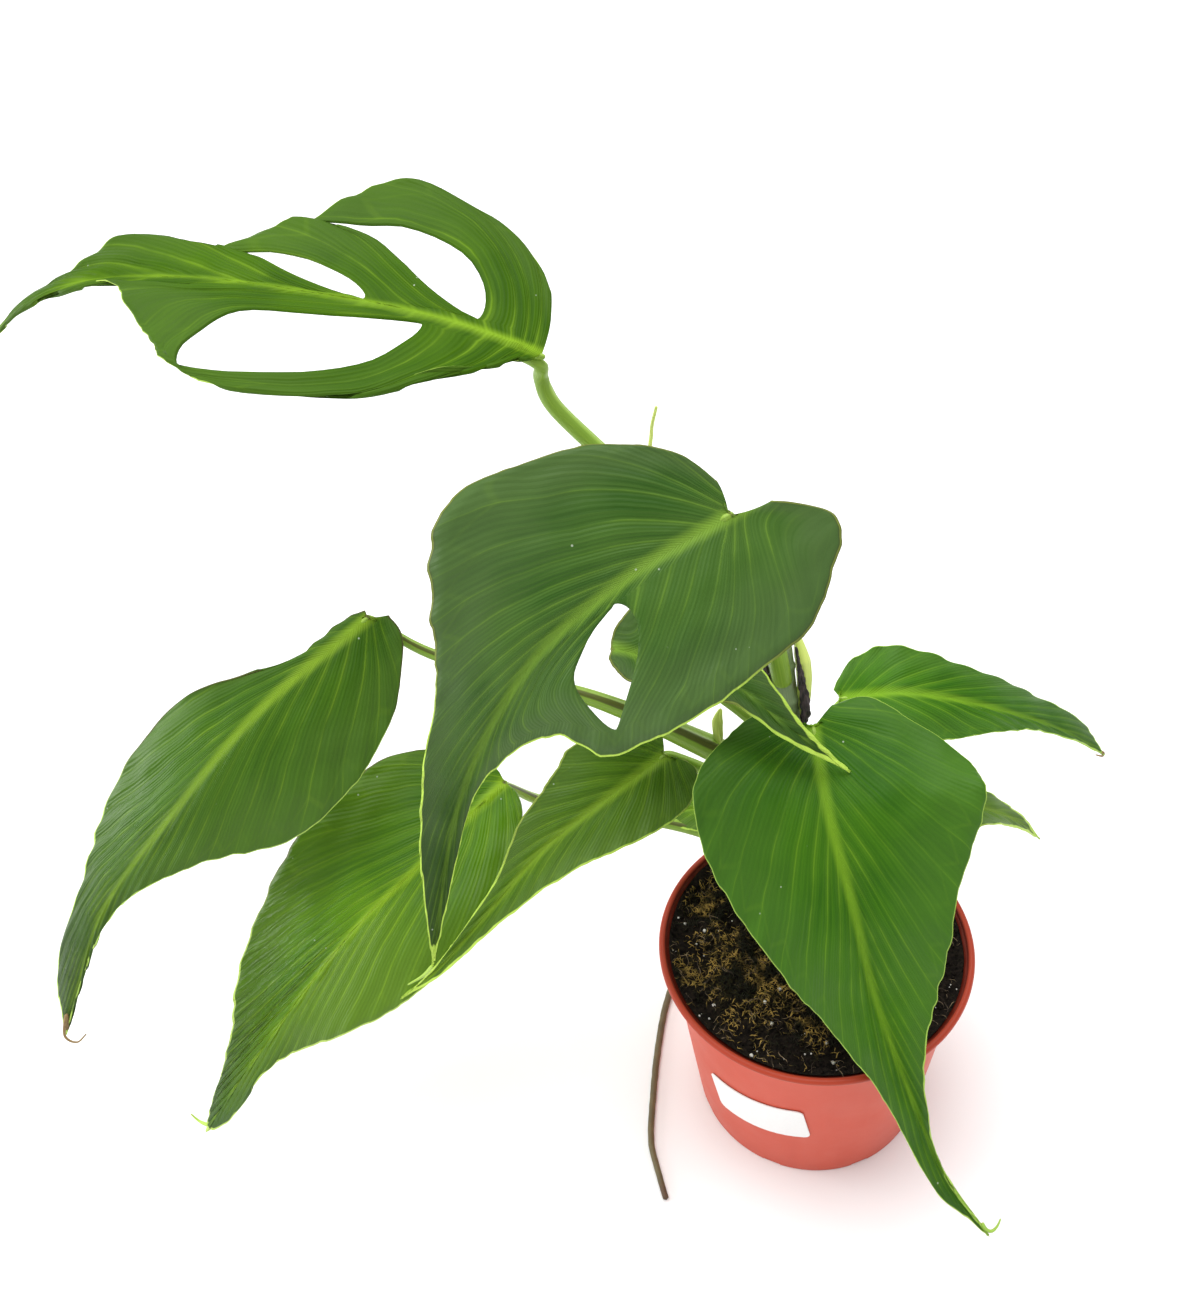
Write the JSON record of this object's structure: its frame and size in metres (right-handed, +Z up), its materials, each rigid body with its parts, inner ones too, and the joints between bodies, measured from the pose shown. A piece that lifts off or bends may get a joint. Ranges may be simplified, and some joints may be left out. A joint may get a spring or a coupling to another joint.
{
  "type": "potted burle marx flame monstera",
  "caption": "Climbing aroid house plant with long drip-tipped leaves, one cut into curved fingers, in a round tapered plastic nursery pot with soil.",
  "frame": {"origin": "centre of the pot's flat underside, on the surface that it stands on", "axes": "+Z up along the pot's axis, -Y towards the side that the picture shows, +X to the right seen from there"},
  "size_m": [0.4118, 0.2463, 0.3489],
  "materials": {
    "pot": "satin terracotta plastic",
    "label": "blank white sticker",
    "soil": "peat with moss, fibres and perlite",
    "stem": "satin green stem",
    "leaf": "satin leaf",
    "new_growth": "pale yellow-green",
    "dry_sheath": "dry and papery",
    "root": "matt olive brown"
  },
  "bodies": {
    "root": {"pot": "pot", "label": "label", "soil": "soil", "stem": "stem", "leaf_a": "leaf", "leaf_b": "leaf", "leaf_c": "leaf", "leaf_d": "leaf", "leaf_e": "leaf", "leaf_f": "leaf", "leaf_g": "leaf", "leaf_h": "leaf", "leaf_i": "leaf", "leaf_j": "leaf", "new_leaf": "new_growth", "new_sheath": "new_growth", "dry_sheath_1": "dry_sheath", "dry_sheath_2": "dry_sheath", "aerial_root": "root"}
  },
  "joints": []
}
